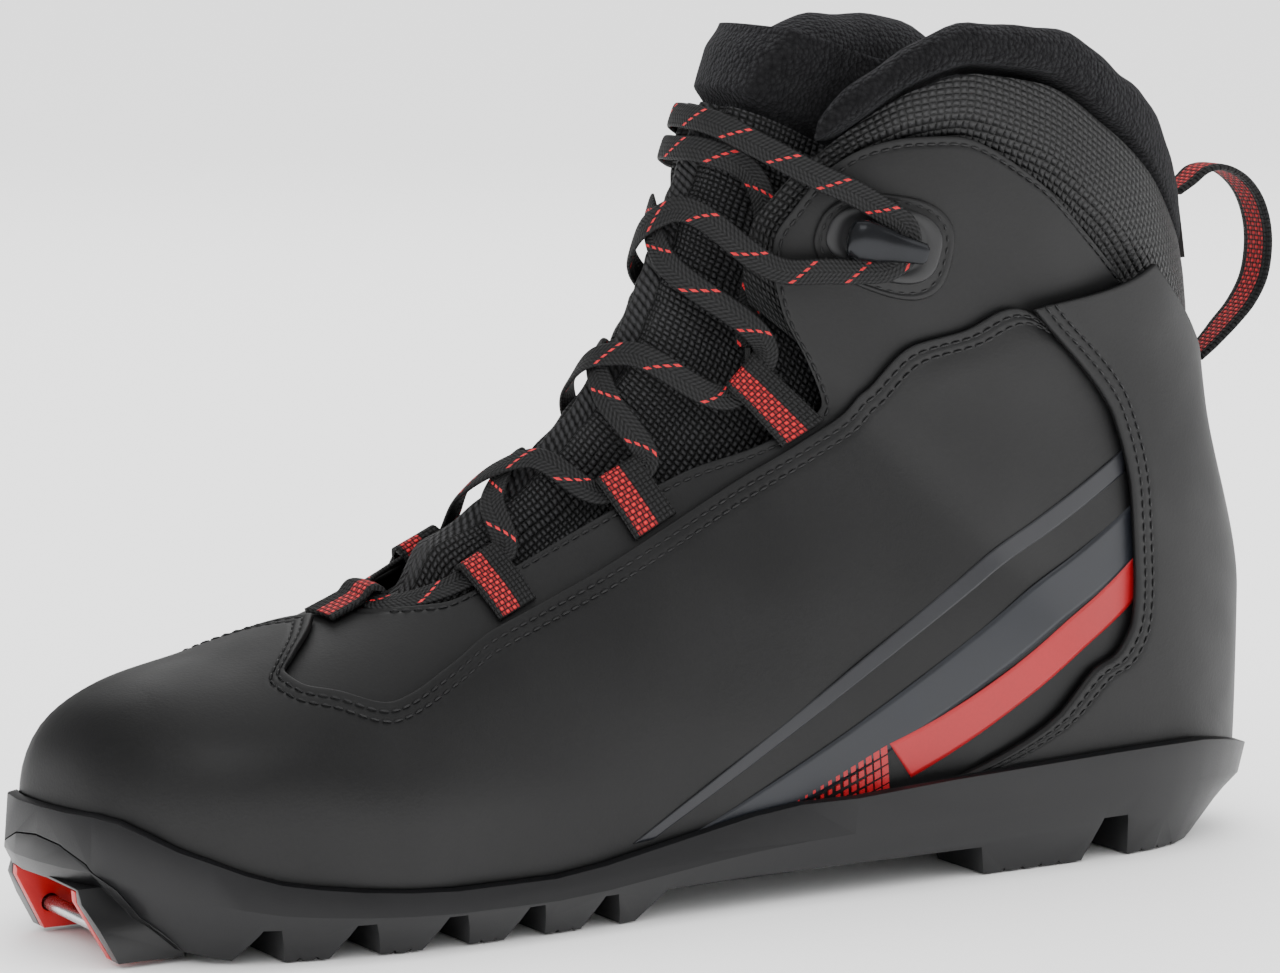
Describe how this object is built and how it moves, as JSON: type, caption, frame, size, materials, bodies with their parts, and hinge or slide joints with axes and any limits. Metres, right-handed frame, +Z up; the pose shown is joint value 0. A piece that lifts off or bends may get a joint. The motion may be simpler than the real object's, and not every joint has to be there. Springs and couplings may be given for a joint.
{
  "type": "cross country boot",
  "caption": "Low laced ski touring boot with wrapped rubber sole, toe bar for a binding, padded collar, webbing lace loops, hooks and a heel pull loop.",
  "frame": {"origin": "centre of the boot's box, on the floor plane", "axes": "+X from toe to heel, -Y to the outer side of this left boot, +Z up"},
  "size_m": [0.3092, 0.0918, 0.1887],
  "materials": {
    "coated_synthetic": "matte coated synthetic leather, fine grain",
    "facing_synthetic": "matte coated synthetic leather",
    "ballistic_mesh": "coarse ballistic weave",
    "collar_foam": "open cell foam",
    "lining_textile": "brushed textile",
    "stiffener": "thermoplastic sheet",
    "collar_fleece": "short fleece",
    "tongue_weave": "ribbed weave",
    "loop_webbing": "red webbing with black edges",
    "hook_base_plastic": "moulded, satin",
    "gunmetal_hook": "metallised dark grey, satin",
    "bright_steel": "polished",
    "braided_lace": "flat braid with red flecks",
    "lace_tip": "clear film over braid",
    "sole_rubber": "matte moulded rubber",
    "toe_plate_plastic": "moulded, satin",
    "red_plastic": "moulded, gloss",
    "shank_nylon": "moulded",
    "fibre_board": "cellulose board",
    "footbed_foam": "textile over foam"
  },
  "bodies": {
    "boot": {"quarter_overlay": "coated_synthetic", "heel_overlay": "coated_synthetic", "facing": "facing_synthetic", "collar_mesh": "ballistic_mesh", "collar_foam": "collar_foam", "lining": "lining_textile", "toe_puff": "stiffener", "heel_counter": "stiffener", "collar_roll": "collar_fleece", "tongue": "tongue_weave", "tongue_lining": "collar_fleece", "lace_loop_lateral_1": "loop_webbing", "lace_loop_lateral_2": "loop_webbing", "lace_loop_lateral_3": "loop_webbing", "lace_loop_medial_1": "loop_webbing", "lace_loop_medial_2": "loop_webbing", "lace_loop_medial_3": "loop_webbing", "throat_loop": "loop_webbing", "pull_root_lower": "loop_webbing", "pull_root_upper": "loop_webbing", "hook_patch_lateral": "facing_synthetic", "hook_patch_medial": "facing_synthetic", "hook_base_lateral": "hook_base_plastic", "hook_base_medial": "hook_base_plastic", "hook_lateral": "gunmetal_hook", "hook_medial": "gunmetal_hook", "hook_rivet_lateral": "bright_steel", "hook_rivet_medial": "bright_steel", "lace": "braided_lace", "lace_tip_lateral": "lace_tip", "lace_tip_medial": "lace_tip", "outsole": "sole_rubber", "toe_plate": "toe_plate_plastic", "toe_insert": "red_plastic", "toe_bar": "bright_steel", "shank": "shank_nylon", "lasting_board": "fibre_board"},
    "pull": {"pull_loop": "loop_webbing"},
    "bed": {"footbed": "footbed_foam"}
  },
  "joints": [
    {"name": "pull_swing", "type": "hinge", "parent": "boot", "child": "pull", "pos_m": [0.13524, -0.00212, 0.1076], "axis": [-0.0903, 0, 0.9959], "range_deg": [-45, 45], "stiffness_Nm_per_rad": 0.002},
    {"name": "footbed_lift", "type": "slide", "parent": "boot", "child": "bed", "axis": [0, 0, 1], "range_m": [0, 0.004]}
  ]
}
